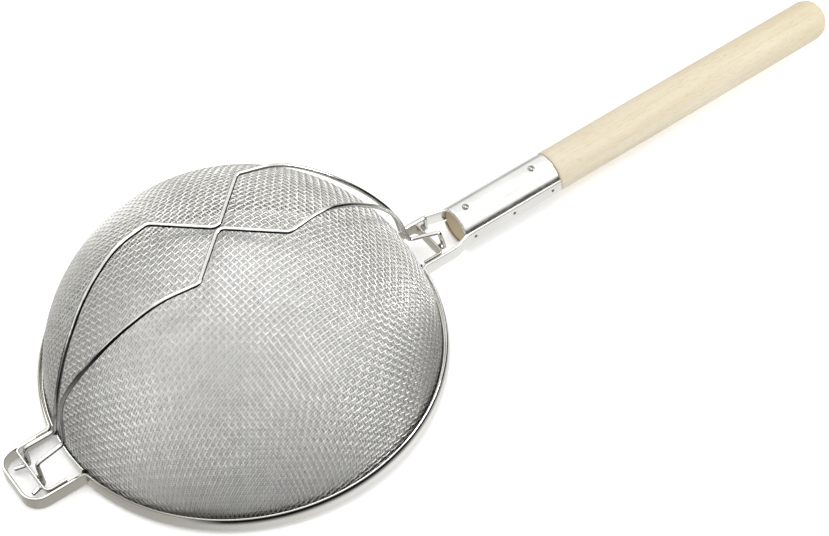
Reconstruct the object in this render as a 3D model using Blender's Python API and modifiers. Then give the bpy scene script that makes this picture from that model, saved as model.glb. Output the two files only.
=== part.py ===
"""Double sieve strainer: two nested wire-mesh bowls clamped in a rim, a spider guard and a wooden handle.

The strainer stands dome up on a table. Every piece is laid out in the rim's own frame: origin at the
rim's centre, X towards the handle, Y to the left, Z up through the dome, with the rim's underside at
z = 0. The empty "resting_pose" carries that frame to the table: the strainer rests on the end of its
hook and on the front edge of its ferrule, so the rim leans slightly.
"""

import math

import bmesh
import bpy
from mathutils import Vector

MM = 0.001
GAP = 0.3 * MM

# Rim band: one strip on edge that makes the rim, the hook loop and the two handle arms
RIM_RADIUS = 101.6 * MM
BAND_HEIGHT = 7.6 * MM
BAND_THICKNESS = 1.6 * MM
BAND_RADIUS = RIM_RADIUS - BAND_THICKNESS / 2
BAND_EDGE = 0.35 * MM
RIM_STEP = math.radians(4)
JUNCTION_BEND = 3.0 * MM

# Hook loop, opposite the handle
HOOK_HALF_WIDTH = 16.8 * MM
HOOK_END_X = -128.7 * MM
HOOK_BEND = 8.8 * MM

# Handle arms: they leave the rim, close in on the handle and run along its sides
ARM_HALF_WIDTH = 13.6 * MM
ARM_NECK_START_X = 119.5 * MM
ARM_NECK_END_X = 129.5 * MM
ARM_NECK_BEND = 14.0 * MM

# Hem: an upright channel that clamps the edges of both bowls
HEM_OUTER_RADIUS = RIM_RADIUS - BAND_THICKNESS - GAP
HEM_WIDTH = 4.7 * MM
HEM_WALL = 0.7 * MM
HEM_BOTTOM_Z = 0.4 * MM
HEM_HEIGHT = 4.2 * MM

# Mesh bowls, as thin shells
OUTER_BOWL_RADIUS = 98.2 * MM
OUTER_BOWL_DEPTH = 91.6 * MM
OUTER_BOWL_THICKNESS = 1.0 * MM
INNER_BOWL_THICKNESS = 0.6 * MM
BOWL_SPRING_Z = 3.0 * MM
BOWL_BASE_Z = 1.5 * MM
BOWL_ROUNDNESS = 1.86
ROUND_STEPS = 48

# Handle and ferrule, on one axis at the middle of the band's height
AXIS_Z = BAND_HEIGHT / 2
HANDLE_RADIUS = 11.4 * MM
HANDLE_END_X = 376.5 * MM
TIP_ROUND = 9.0 * MM
TIP_CROWN = 0.4 * MM
FERRULE_START_X = 128.7 * MM
FERRULE_END_X = 189.0 * MM
SHELL_RADIUS = 11.0 * MM
SHELL_THICKNESS = 0.9 * MM
SHELL_LIP_RADIUS = 9.0 * MM
SHELL_LIP_BEND = 1.2 * MM
TENON_RADIUS = 9.6 * MM
TENON_START_X = FERRULE_START_X + SHELL_THICKNESS + GAP
SHOULDER_X = FERRULE_END_X + GAP
ARM_Y = TENON_RADIUS + GAP + BAND_THICKNESS / 2
ARM_END_X = FERRULE_END_X

# Nails
SHELL_NAIL_X = (136.4 * MM, 178.3 * MM)
SIDE_NAIL_FIRST_X = 134.0 * MM
SIDE_NAIL_PITCH = 24.7 * MM
SIDE_NAIL_COUNT = 3
SHANK_RADIUS = 0.9 * MM
NAIL_LENGTH = 7.0 * MM
HOLE_RADIUS = SHANK_RADIUS + GAP
SHELL_NAIL_HEAD_RADIUS = 1.8 * MM
SIDE_NAIL_HEAD_RADIUS = 1.2 * MM
HEAD_CROWN_SHARE = 0.3
HEAD_RIM = 0.1 * MM

# Anchor brackets: U strips welded inside the hook loop and between the handle arms
BRACKET_THICKNESS = 1.2 * MM
BRACKET_FLANGE = 11.0 * MM
BRACKET_BEND = 2.6 * MM
FRONT_BRACKET_X = -119.0 * MM
FRONT_BRACKET_BOTTOM_Z = 4.5 * MM
FRONT_BRACKET_HEIGHT = 4.2 * MM
REAR_BRACKET_X = 112.9 * MM
REAR_BRACKET_BOTTOM_Z = 1.3 * MM
REAR_BRACKET_HEIGHT = 7.0 * MM

# Spider: two bent wires that all but touch over the dome's top and near both ends
WIRE_RADIUS = 1.1 * MM
WIRE_TOUCH_Y = WIRE_RADIUS + GAP / 2
SPIDER_TOP_Z = 97.2 * MM

# Resting pose: the lower edge of the hook's end and the front nail under the ferrule touch the table
HOOK_TIP_X = HOOK_END_X - BAND_THICKNESS / 2 + BAND_EDGE
LOW_NAIL_X = SHELL_NAIL_X[0]
LOW_NAIL_Z = AXIS_Z - SHELL_RADIUS - GAP - HEAD_RIM - HEAD_CROWN_SHARE * SHELL_NAIL_HEAD_RADIUS
REST_TILT = math.atan2(-LOW_NAIL_Z, LOW_NAIL_X - HOOK_TIP_X)


# ---------------------------------------------------------------- scene and materials

def clear_scene():
    for obj in list(bpy.data.objects):
        bpy.data.objects.remove(obj, do_unlink=True)


def new_collection(name):
    collection = bpy.data.collections.new(name)
    bpy.context.scene.collection.children.link(collection)
    return collection


def principled(name, color, roughness, metallic):
    material = bpy.data.materials.new(name)
    material.use_nodes = True
    shader = material.node_tree.nodes["Principled BSDF"]
    shader.inputs["Base Color"].default_value = (*color, 1.0)
    shader.inputs["Roughness"].default_value = roughness
    shader.inputs["Metallic"].default_value = metallic
    material.diffuse_color = (*color, 1.0)
    return material


def resting_pose():
    """An empty that holds the rim's frame: tilted, with the object's box centred over the origin."""
    back_x = HANDLE_END_X * math.cos(REST_TILT) - AXIS_Z * math.sin(REST_TILT)
    front_x = (HOOK_END_X - BAND_THICKNESS / 2) * math.cos(REST_TILT) - BAND_HEIGHT * math.sin(REST_TILT)
    empty = bpy.data.objects.new("resting_pose", None)
    empty.rotation_euler = (0.0, -REST_TILT, 0.0)
    empty.location = (-(front_x + back_x) / 2, 0.0, -HOOK_TIP_X * math.sin(REST_TILT))
    return empty


# ---------------------------------------------------------------- paths

def arc_points(center, radius, start, end, count):
    """Points on a circle in a plane, as (x, y) pairs, from the start angle to the end angle."""
    step = (end - start) / count
    return [
        (center[0] + radius * math.cos(start + step * i), center[1] + radius * math.sin(start + step * i))
        for i in range(count + 1)
    ]


def filleted(vertices, points_per_bend=4):
    """A path through straight runs whose corners are arcs.

    Each vertex is (position, bend radius). A radius of None gives the widest bend that fits, and a
    radius of 0 keeps the point as it is.
    """
    path = []
    for i, (corner, radius) in enumerate(vertices):
        corner = Vector(corner)
        if radius == 0 or i in (0, len(vertices) - 1):
            path.append(corner)
            continue
        back = Vector(vertices[i - 1][0]) - corner
        ahead = Vector(vertices[i + 1][0]) - corner
        half = back.angle(ahead) / 2
        room = 0.48 * min(back.length, ahead.length)
        setback = room if radius is None else min(room, radius / math.tan(half))
        start = corner + back.normalized() * setback
        end = corner + ahead.normalized() * setback
        center = corner + (back.normalized() + ahead.normalized()).normalized() * (setback / math.cos(half))
        spoke = (start - center).normalized()
        last_spoke = (end - center).normalized()
        for j in range(points_per_bend + 1):
            turned = spoke.slerp(last_spoke, j / points_per_bend)
            path.append(center + turned * (setback * math.tan(half)))
    return path


def mirrored_y(path):
    return [Vector((p.x, -p.y, p.z)) for p in path]


# ---------------------------------------------------------------- object makers

def add_object(name, data, material, collection, parent):
    obj = bpy.data.objects.new(name, data)
    obj.data.materials.append(material)
    obj.parent = parent
    collection.objects.link(obj)
    return obj


def poly_curve(name, points, closed=False, dimensions="3D"):
    curve = bpy.data.curves.new(name, "CURVE")
    curve.dimensions = dimensions
    spline = curve.splines.new("POLY")
    spline.points.add(len(points) - 1)
    for target, point in zip(spline.points, points):
        target.co = (point[0], point[1], point[2] if len(point) > 2 else 0.0, 1.0)
    spline.use_cyclic_u = closed
    return curve


def to_mesh_object(obj, collection):
    """Replaces a curve object by its mesh, with the loose caps welded on."""
    bpy.context.view_layer.update()
    graph = bpy.context.evaluated_depsgraph_get()
    mesh = bpy.data.meshes.new_from_object(obj.evaluated_get(graph))
    made = bmesh.new()
    made.from_mesh(mesh)
    bmesh.ops.remove_doubles(made, verts=made.verts, dist=0.00001)
    bmesh.ops.recalc_face_normals(made, faces=made.faces)
    made.to_mesh(mesh)
    made.free()
    name = obj.name
    solid = bpy.data.objects.new(name + "_mesh", mesh)
    solid.parent = obj.parent
    solid.matrix_local = obj.matrix_local
    collection.objects.link(solid)
    bpy.data.objects.remove(obj, do_unlink=True)
    solid.name = name
    return solid


def profile_mesh(name, points, closed=False):
    """An edge profile in the XZ plane, from (radius, z) pairs, for a Screw modifier."""
    mesh = bpy.data.meshes.new(name)
    edges = [(i, i + 1) for i in range(len(points) - 1)]
    if closed:
        edges.append((len(points) - 1, 0))
    mesh.from_pydata([(r, 0.0, z) for r, z in points], edges, [])
    return mesh


def add_screw(obj, steps, angle=2 * math.pi):
    screw = obj.modifiers.new("Screw", "SCREW")
    screw.steps = steps
    screw.render_steps = steps
    screw.angle = angle
    screw.use_merge_vertices = True
    screw.merge_threshold = 0.00001
    screw.use_smooth_shade = True
    return screw


def add_solidify(obj, thickness, offset=-1.0):
    solidify = obj.modifiers.new("Solidify", "SOLIDIFY")
    solidify.thickness = thickness
    solidify.offset = offset
    solidify.use_even_offset = True
    return solidify


def cut(obj, cutter):
    boolean = obj.modifiers.new("Cut " + cutter.name, "BOOLEAN")
    boolean.operation = "DIFFERENCE"
    boolean.solver = "EXACT"
    boolean.object = cutter


def cylinder_cutter(name, center, direction, radius, length, collection, parent):
    """A round cutter centred on a point, with its axis along a direction."""
    made = bmesh.new()
    bmesh.ops.create_cone(made, cap_ends=True, segments=12, radius1=radius, radius2=radius, depth=length)
    mesh = bpy.data.meshes.new(name)
    made.to_mesh(mesh)
    made.free()
    obj = bpy.data.objects.new(name, mesh)
    obj.location = center
    obj.rotation_euler = Vector((0, 0, 1)).rotation_difference(Vector(direction)).to_euler()
    obj.parent = parent
    obj.hide_render = True
    obj.display_type = "WIRE"
    collection.objects.link(obj)
    return obj


# ---------------------------------------------------------------- the frame band

def band_path():
    """The strip's centreline in plan, from the left arm's end round the rim and the hook to the right arm."""
    arm_angle = math.asin(ARM_HALF_WIDTH / BAND_RADIUS)
    hook_angle = math.pi - math.asin(HOOK_HALF_WIDTH / BAND_RADIUS)
    steps = round((hook_angle - arm_angle) / RIM_STEP)
    rim = arc_points((0, 0), BAND_RADIUS, arm_angle, hook_angle, steps)
    left = [
        ((ARM_END_X, ARM_Y, 0), 0),
        ((ARM_NECK_END_X, ARM_Y, 0), ARM_NECK_BEND),
        ((ARM_NECK_START_X, ARM_HALF_WIDTH, 0), ARM_NECK_BEND),
        ((*rim[0], 0), JUNCTION_BEND),
        *[((*point, 0), 0) for point in rim[1:-1]],
        ((*rim[-1], 0), JUNCTION_BEND),
        ((HOOK_END_X, HOOK_HALF_WIDTH, 0), HOOK_BEND),
    ]
    right = [((x, -y, z), bend) for (x, y, z), bend in reversed(left)]
    return filleted(left + right)


def band_section():
    """The strip's cross-section: flat sides, rounded along the outer edges."""
    half_t = BAND_THICKNESS / 2
    half_h = BAND_HEIGHT / 2
    outer = [(half_t - BAND_EDGE, half_h), (half_t - 0.08 * MM, half_h - BAND_EDGE), (half_t, half_h - 1.2 * MM)]
    inner = [(-half_t, half_h - BAND_EDGE), (-half_t + BAND_EDGE, half_h)]
    upper = inner + outer
    lower = [(x, -y) for x, y in reversed(upper)]
    return upper + lower


def make_frame_band(material, parts, helpers, parent):
    section = bpy.data.objects.new("band_section", poly_curve("band_section", band_section(), closed=True))
    section.data.dimensions = "2D"
    helpers.objects.link(section)
    section.hide_render = True
    curve = poly_curve("frame_band", band_path())
    curve.dimensions = "2D"
    curve.bevel_mode = "OBJECT"
    curve.bevel_object = section
    curve.use_fill_caps = True
    band = add_object("frame_band", curve, material, parts, parent)
    band.location = (0.0, 0.0, BAND_HEIGHT / 2)
    return to_mesh_object(band, parts)


# ---------------------------------------------------------------- bowls and hem

def bowl_profile(inset, rings=9):
    """The outline of a bowl from its pole down to its straight skirt, moved inwards by an inset."""
    radius = OUTER_BOWL_RADIUS - inset
    depth = OUTER_BOWL_DEPTH - inset
    power = 2 / BOWL_ROUNDNESS
    points = []
    for i in range(rings + 1):
        angle = math.pi / 2 * (1 - i / rings)
        r = radius * max(math.cos(angle), 0.0) ** power if i else 0.0
        points.append((r, BOWL_SPRING_Z + depth * math.sin(angle) ** power))
    points.append((radius, BOWL_BASE_Z))
    return points


def make_bowl(name, inset, thickness, material, parts, parent):
    bowl = add_object(name, profile_mesh(name, bowl_profile(inset)), material, parts, parent)
    add_screw(bowl, steps=ROUND_STEPS)
    add_solidify(bowl, thickness)
    return bowl


def make_hem_ring(material, parts, parent):
    outer = HEM_OUTER_RADIUS
    inner = outer - HEM_WIDTH
    top = HEM_BOTTOM_Z + HEM_HEIGHT
    floor = HEM_BOTTOM_Z + HEM_WALL
    edge = 0.3 * MM
    points = [
        (outer - HEM_WALL, top),
        (outer - edge, top),
        (outer, top - edge),
        (outer, HEM_BOTTOM_Z + edge),
        (outer - edge, HEM_BOTTOM_Z),
        (inner + edge, HEM_BOTTOM_Z),
        (inner, HEM_BOTTOM_Z + edge),
        (inner, top - edge),
        (inner + edge, top),
        (inner + HEM_WALL, top),
        (inner + HEM_WALL, floor),
        (outer - HEM_WALL, floor),
    ]
    hem = add_object("hem_ring", profile_mesh("hem_ring", points, closed=True), material, parts, parent)
    add_screw(hem, steps=ROUND_STEPS)
    return hem


# ---------------------------------------------------------------- anchor brackets

def strip_outline(path, thickness):
    """The closed plan outline of a strip along a path."""
    left = []
    right = []
    for i, point in enumerate(path):
        ahead = path[min(i + 1, len(path) - 1)] - path[max(i - 1, 0)]
        side = Vector((-ahead.y, ahead.x, 0)).normalized() * (thickness / 2)
        left.append(point + side)
        right.append(point - side)
    return left + right[::-1]


def make_bracket(name, x, half_width, bottom_z, height, material, parts, parent):
    """A U strip: a crossbar at x, with two flanges that run back towards the rim."""
    towards_rim = -math.copysign(BRACKET_FLANGE, x)
    flange_y = half_width - BAND_THICKNESS / 2 - GAP - BRACKET_THICKNESS / 2
    path = filleted([
        ((x + towards_rim, flange_y, 0), 0),
        ((x, flange_y, 0), BRACKET_BEND),
        ((x, -flange_y, 0), BRACKET_BEND),
        ((x + towards_rim, -flange_y, 0), 0),
    ])
    curve = poly_curve(name, strip_outline(path, BRACKET_THICKNESS), closed=True, dimensions="2D")
    curve.fill_mode = "BOTH"
    curve.extrude = height / 2
    bracket = add_object(name, curve, material, parts, parent)
    bracket.location = (0.0, 0.0, bottom_z + height / 2)
    return to_mesh_object(bracket, parts)


# ---------------------------------------------------------------- spider wires

def wire_path():
    """The left wire, from its stub under the front bracket over the dome to its tip behind the rear bracket."""
    touch = WIRE_TOUCH_Y
    runs = [
        ((-123.8, 9.0, 3.1), 0),
        ((-116.9, 7.2, 3.1), 1.6),
        ((-116.8, 5.8, 18.0), 2.2),
        ((-101.0, 4.5, 19.6), 3.0),
        ((-97.2, touch / MM, 42.5), None),
        ((-86.0, 7.0, 62.0), None),
        ((-66.0, 14.6, 84.0), None),
        ((-44.0, 20.0, 97.0), None),
        ((-24.6, 22.8, SPIDER_TOP_Z / MM), 4.0),
        ((0.0, touch / MM - 1.2, SPIDER_TOP_Z / MM), 4.0),
        ((24.6, 22.8, SPIDER_TOP_Z / MM), 4.0),
        ((45.0, 18.6, 94.6), None),
        ((63.0, 13.4, 81.0), None),
        ((82.5, 6.4, 59.0), None),
        ((94.6, touch / MM, 38.5), None),
        ((98.8, 3.6, 19.6), 3.0),
        ((115.3, 6.3, 15.6), 2.4),
        ((116.6, 8.0, 4.8), 0),
    ]
    return filleted([(Vector(point) * MM, bend and bend * MM) for point, bend in runs])


def make_wire(name, path, material, parts, parent):
    curve = poly_curve(name, path)
    curve.bevel_depth = WIRE_RADIUS
    curve.bevel_resolution = 2
    curve.use_fill_caps = True
    return add_object(name, curve, material, parts, parent)


# ---------------------------------------------------------------- handle and ferrule

def place_on_axis(obj):
    """Turns an object's local Z axis to lie along the handle, with the rim's X as its length."""
    obj.location = (0.0, 0.0, AXIS_Z)
    obj.rotation_euler = (0.0, math.pi / 2, 0.0)


def make_handle(material, parts, parent):
    chamfer = 0.5 * MM
    tip_base = HANDLE_END_X - TIP_CROWN - TIP_ROUND
    tip = [
        (HANDLE_RADIUS - TIP_ROUND + TIP_ROUND * math.cos(a), tip_base + TIP_ROUND * math.sin(a))
        for a in [math.pi / 2 * (1 - i / 6) for i in range(7)]
    ]
    points = [
        (0.0, HANDLE_END_X),
        *tip,
        (HANDLE_RADIUS, SHOULDER_X + chamfer),
        (HANDLE_RADIUS - chamfer, SHOULDER_X),
        (TENON_RADIUS, SHOULDER_X),
        (TENON_RADIUS, TENON_START_X + chamfer),
        (TENON_RADIUS - chamfer, TENON_START_X),
        (0.0, TENON_START_X),
    ]
    handle = add_object("handle", profile_mesh("handle", points), material, parts, parent)
    place_on_axis(handle)
    add_screw(handle, steps=32)
    return handle


def make_shell(name, up, material, parts, parent):
    """Half of the ferrule: a pressed shell with a rolled lip over the front of the wood."""
    bend_center_r = SHELL_RADIUS - SHELL_LIP_BEND
    bend_center_x = FERRULE_START_X + SHELL_LIP_BEND
    lip = [
        (bend_center_r + SHELL_LIP_BEND * math.cos(a), bend_center_x + SHELL_LIP_BEND * math.sin(a))
        for a in [-math.pi / 2 * i / 4 for i in range(5)]
    ]
    points = [(SHELL_RADIUS, FERRULE_END_X), *lip, (SHELL_LIP_RADIUS, FERRULE_START_X)]
    edge_z = BAND_HEIGHT / 2 + GAP
    edge_angle = math.asin(edge_z / (SHELL_RADIUS - SHELL_THICKNESS))
    sweep = math.pi - 2 * edge_angle
    start = (math.pi if up else 0.0) - sweep / 2
    mesh = profile_mesh(name, points)
    for vertex in mesh.vertices:
        r = vertex.co.x
        vertex.co.x = r * math.cos(start)
        vertex.co.y = r * math.sin(start)
    shell = add_object(name, mesh, material, parts, parent)
    place_on_axis(shell)
    add_screw(shell, steps=18, angle=sweep)
    add_solidify(shell, SHELL_THICKNESS)
    return shell


# ---------------------------------------------------------------- nails

def nail_profile(head_radius):
    """A domed head over z = 0 and a pointed shank below it."""
    crown = HEAD_CROWN_SHARE * head_radius
    head = [
        (head_radius * math.sin(a), crown * math.cos(a))
        for a in [math.pi / 2 * i / 4 for i in range(5)]
    ]
    return head + [
        (head_radius, -HEAD_RIM),
        (SHANK_RADIUS, -HEAD_RIM),
        (SHANK_RADIUS, -NAIL_LENGTH + 1.5 * MM),
        (0.0, -NAIL_LENGTH),
    ]


def make_nail(name, seat, direction, head_radius, material, parts, parent):
    """A nail whose head stands just off a seat point, with its shank going in against the direction."""
    nail = add_object(name, profile_mesh(name, nail_profile(head_radius)), material, parts, parent)
    direction = Vector(direction)
    nail.location = Vector(seat) + direction * (GAP + HEAD_RIM)
    nail.rotation_euler = Vector((0, 0, 1)).rotation_difference(direction).to_euler()
    add_screw(nail, steps=12)
    return nail


def nail_plan():
    """Every nail as (name, seat point, outward direction, head radius, the piece that it passes through)."""
    plan = []
    for side, sign in (("upper", 1), ("lower", -1)):
        for place, x in zip(("front", "rear"), SHELL_NAIL_X):
            seat = (x, 0.0, AXIS_Z + sign * SHELL_RADIUS)
            name = f"{side}_ferrule_nail_{place}"
            plan.append((name, seat, (0, 0, sign), SHELL_NAIL_HEAD_RADIUS, f"{side}_ferrule_shell"))
    for side, sign in (("left", 1), ("right", -1)):
        for i in range(SIDE_NAIL_COUNT):
            seat = (SIDE_NAIL_FIRST_X + i * SIDE_NAIL_PITCH, sign * (ARM_Y + BAND_THICKNESS / 2), AXIS_Z)
            plan.append((f"side_nail_{side}_{i + 1}", seat, (0, sign, 0), SIDE_NAIL_HEAD_RADIUS, "frame_band"))
    return plan


# ---------------------------------------------------------------- assembly

def main():
    clear_scene()
    parts = new_collection("double_sieve_strainer")
    helpers = new_collection("cutters")
    rest = resting_pose()
    parts.objects.link(rest)

    steel = principled("polished_steel", (0.78, 0.77, 0.74), 0.18, 1.0)
    mesh_steel = principled("mesh_steel", (0.62, 0.61, 0.58), 0.35, 1.0)
    tinned = principled("tinned_wire", (0.80, 0.79, 0.76), 0.15, 1.0)
    wood = principled("beech", (0.84, 0.74, 0.57), 0.55, 0.0)

    band = make_frame_band(steel, parts, helpers, rest)
    make_hem_ring(steel, parts, rest)
    make_bowl("outer_mesh_bowl", 0.0, OUTER_BOWL_THICKNESS, mesh_steel, parts, rest)
    inner_inset = OUTER_BOWL_THICKNESS + GAP
    make_bowl("inner_mesh_bowl", inner_inset, INNER_BOWL_THICKNESS, mesh_steel, parts, rest)
    make_bracket(
        "front_anchor_bracket", FRONT_BRACKET_X, HOOK_HALF_WIDTH,
        FRONT_BRACKET_BOTTOM_Z, FRONT_BRACKET_HEIGHT, steel, parts, rest,
    )
    make_bracket(
        "rear_anchor_bracket", REAR_BRACKET_X, ARM_HALF_WIDTH,
        REAR_BRACKET_BOTTOM_Z, REAR_BRACKET_HEIGHT, steel, parts, rest,
    )
    left_wire = wire_path()
    make_wire("spider_wire_left", left_wire, tinned, parts, rest)
    make_wire("spider_wire_right", mirrored_y(left_wire), tinned, parts, rest)
    handle = make_handle(wood, parts, rest)
    pierced = {"frame_band": band}
    for name, up in (("upper_ferrule_shell", True), ("lower_ferrule_shell", False)):
        pierced[name] = make_shell(name, up, steel, parts, rest)

    for name, seat, direction, head_radius, holder in nail_plan():
        make_nail(name, seat, direction, head_radius, steel, parts, rest)
        bottom = Vector(seat) - Vector(direction) * (NAIL_LENGTH + 0.5 * MM)
        top = Vector(seat) + Vector(direction) * 1.5 * MM
        length = (top - bottom).length
        cutter = cylinder_cutter(name + "_hole", (top + bottom) / 2, direction, HOLE_RADIUS, length, helpers, rest)
        cut(pierced[holder], cutter)
        cut(handle, cutter)


main()
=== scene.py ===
"""The looks of the double sieve strainer.

It has two woven mesh bowls, a polished rim strip, bent guard wires, a nailed ferrule and a beech handle.
Everything is made in the rim's own frame, in millimetres: origin at the rim's centre on its underside,
X towards the handle, Y to the left, Z up through the dome. REST turns that frame into the row frame,
where the strainer lies on its hook and on the front nail under its ferrule.
"""

import math

import bpy
import numpy as np
from mathutils import Matrix, Vector


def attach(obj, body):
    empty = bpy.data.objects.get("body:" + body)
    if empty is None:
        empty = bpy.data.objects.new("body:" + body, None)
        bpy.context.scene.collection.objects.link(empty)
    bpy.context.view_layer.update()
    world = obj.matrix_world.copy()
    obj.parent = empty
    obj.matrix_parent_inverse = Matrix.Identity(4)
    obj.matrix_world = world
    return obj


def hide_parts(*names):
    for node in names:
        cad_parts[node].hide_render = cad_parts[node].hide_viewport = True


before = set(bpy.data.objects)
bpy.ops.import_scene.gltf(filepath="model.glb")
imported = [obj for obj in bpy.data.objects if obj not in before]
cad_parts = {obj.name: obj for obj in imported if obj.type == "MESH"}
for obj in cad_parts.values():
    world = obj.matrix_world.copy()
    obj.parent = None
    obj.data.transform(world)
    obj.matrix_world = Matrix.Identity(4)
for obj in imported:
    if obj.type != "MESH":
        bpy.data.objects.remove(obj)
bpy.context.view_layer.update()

MM = 0.001

# Space left between pieces that touch on the real strainer
GAP = 0.3

# Rim band. Rolling crowned the strip where it was curved into the rim, and left the hook and the arms
# nearly flat
RIM_RADIUS = 101.6
BAND_HEIGHT = 7.6
BAND_THICKNESS = 1.6
BAND_RADIUS = RIM_RADIUS - BAND_THICKNESS / 2
HOOK_HALF_WIDTH = 16.8
HOOK_END_X = -128.7
ARM_HALF_WIDTH = 13.6
ARM_NECK_START_X = 119.5
ARM_NECK_END_X = 129.5
ROOT_BEND = 2.2
NECK_BEND = 14.0
HOOK_BEND = 8.8
STRIP_EDGE = 0.28
RIM_CROWN = 1.0
FLAT_CROWN = 0.1

# Hem
HEM_OUTER_RADIUS = RIM_RADIUS - BAND_THICKNESS - GAP
HEM_INNER_RADIUS = HEM_OUTER_RADIUS - 4.7
HEM_BOTTOM_Z = 0.4
HEM_TOP_Z = 4.6
HEM_SHEET = 0.9

# Brackets: the place of each along X, the height of its lower edge and its own height
BRACKET_THICKNESS = 1.2
BRACKET_LEG = 11.0
BRACKET_BEND = 2.6
HOOK_BRACKET_X = -119.0
HOOK_BRACKET_Z = (4.5, 4.2)
ARM_BRACKET_X = 112.9
ARM_BRACKET_Z = (1.3, 7.0)

# Bowls: radius r = a cos^k t and height z = z0 + h sin^k t, with k = 2 / roundness
BOWL_ROUNDNESS = 1.86
BOWL_RADIUS = 98.2
BOWL_DEPTH = 91.6
BOWL_SPRING_Z = 3.0
BOWL_SKIRT = 2.0
COARSE_INSET = 0.5
FINE_INSET = 1.7

# Woven cloth. The crimp is how far a wire bends out of the middle of the cloth at each crossing
COARSE_PITCH = 2.82
COARSE_WIRE_RADIUS = 0.31
COARSE_CRIMP = 0.31
FINE_PITCH = 1.4
FINE_WIRE_RADIUS = 0.27
FINE_CRIMP = 0.23
WARP_ANGLE = math.radians(9)
NET_REACH = 60

# Handle and ferrule
AXIS_Z = BAND_HEIGHT / 2
HANDLE_RADIUS = 11.4
HANDLE_END_X = 376.5
TIP_ROUND = 9.0
TIP_CROWN = 0.4
FERRULE_START_X = 128.7
FERRULE_END_X = 189.0
SHELL_RADIUS = 11.0
SHELL_THICKNESS = 0.9
SHELL_LIP_RADIUS = 9.5
SHELL_LIP_BEND = 1.2
TENON_RADIUS = 9.6
TENON_CHAMFER = 0.4
ARM_Y = TENON_RADIUS + GAP + BAND_THICKNESS / 2

# Nails. A head is given by its radius, and the height of its crown as a share of that. It stands off
# the surface it was driven into, less what it is sunk
SHELL_NAIL_X = (136.4, 178.3)
SIDE_NAIL_X = (134.0, 158.7, 183.4)
SHELL_NAIL_HEAD = 1.8
SIDE_NAIL_HEAD = 0.9
HEAD_CROWN_SHARE = 0.3
UPPER_CROWN_SHARE = 0.5
UPPER_SUNK = 0.5
SIDE_SUNK = 0.4
HEAD_STANDOFF = 0.4
SHANK_RADIUS = 0.9
SHANK_LENGTH = 6.8
DIMPLE_DEPTH = 0.55
DIMPLE_SPREAD = 2.1

# Spider
WIRE_RADIUS = 1.1
WIRE_TOUCH_Y = WIRE_RADIUS + 0.15
SPIDER_TOP_Z = 97.2

# Brightness of the surroundings, from straight down (0) through the horizon (0.5) to straight up (1)
PALE_SIDES = ((0.0, 0.80), (0.32, 0.80), (0.44, 0.35), (0.52, 0.40), (0.58, 0.90), (1.0, 1.0))
DARK_SIDE = ((0.0, 0.95), (0.15, 0.88), (0.23, 0.30), (0.28, 0.01),
             (0.55, 0.01), (0.585, 0.5), (0.62, 0.95), (1.0, 1.0))
# Which way the dark side lies, and how far a direction points that way where the dark begins and is full
DARK_SIDE_WAY = (0.45, -0.89, 0.0)
DARK_SIDE_EDGE = (-0.05, 0.25)
FLOOR_GLOW = 0.18

# Painted shade and a dark reflection on the sides and the underside of the guard wires. It ends where the
# surface turns this far upwards, weakens towards the handle between two places along X, and strengthens
# between two heights
WIRE_PAINTED_SHADE = (0.02, 0.02, 0.018, 1.0)
WIRE_SHADE_UPWARD = (0.58, 0.68)
WIRE_SHADE_X = (20 * MM, 60 * MM)
WIRE_SHADE_X_STRENGTH = (1.0, 0.35)
WIRE_SHADE_Z = (30 * MM, 75 * MM)
WIRE_SHADE_Z_STRENGTH = (0.55, 1.0)

# Colours of the beech
BEECH_BANDS = ((0.25, (0.53, 0.48, 0.37)), (0.5, (0.48, 0.42, 0.305)), (0.75, (0.545, 0.505, 0.405)))
BEECH_PALE = (0.555, 0.53, 0.44, 1.0)
BEECH_GRAIN = (0.39, 0.30, 0.175, 1.0)
BEECH_FLECK = (0.33, 0.255, 0.15, 1.0)
TIP_SHADE = (0.93, 0.90, 0.82, 1.0)
TIP_SHADE_X = (300 * MM, 376 * MM)
END_GRAIN = (0.52, 0.43, 0.27, 1.0)
END_RINGS = (0.44, 0.35, 0.21, 1.0)

# Colours of steel
# Painted shade on the hem's inner wall, inside a radius about the rim's centre line
HEM_PAINTED_SHADE = (0.07, 0.068, 0.06, 1.0)
HEM_SHADE_RADIUS = 98.5
# Painted shade on the strip, darkest at the hook end
STEEL_PAINTED_SHADE = (0.40, 0.39, 0.345)
WHITE = (1.0, 1.0, 1.0, 1.0)

# Camera, in the rim's frame: its place, the way it looks, and the way its right side points
CAMERA_PLACE = (-269.283, -617.970, 854.722)
CAMERA_AHEAD = (0.3305291, 0.5492406, -0.7675189)
CAMERA_RIGHT = (0.8126090, -0.5792237, -0.0645486)
CAMERA_LENS = 95.54
SENSOR_WIDTH = 36.0

# Resting pose
BAND_EDGE = 0.35
HOOK_TIP_X = HOOK_END_X - BAND_THICKNESS / 2 + BAND_EDGE
LOW_NAIL_Z = AXIS_Z - SHELL_RADIUS - HEAD_STANDOFF - HEAD_CROWN_SHARE * SHELL_NAIL_HEAD
REST_TILT = math.atan2(-LOW_NAIL_Z, SHELL_NAIL_X[0] - HOOK_TIP_X)
BACK_X = HANDLE_END_X * math.cos(REST_TILT) - AXIS_Z * math.sin(REST_TILT)
FRONT_X = (HOOK_END_X - BAND_THICKNESS / 2) * math.cos(REST_TILT) - BAND_HEIGHT * math.sin(REST_TILT)
REST_PLACE = Vector((-(FRONT_X + BACK_X) / 2, 0.0, -HOOK_TIP_X * math.sin(REST_TILT))) * MM
REST = Matrix.Translation(REST_PLACE) @ Matrix.Rotation(-REST_TILT, 4, "Y")


# ---------------------------------------------------------------- material nodes

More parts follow.
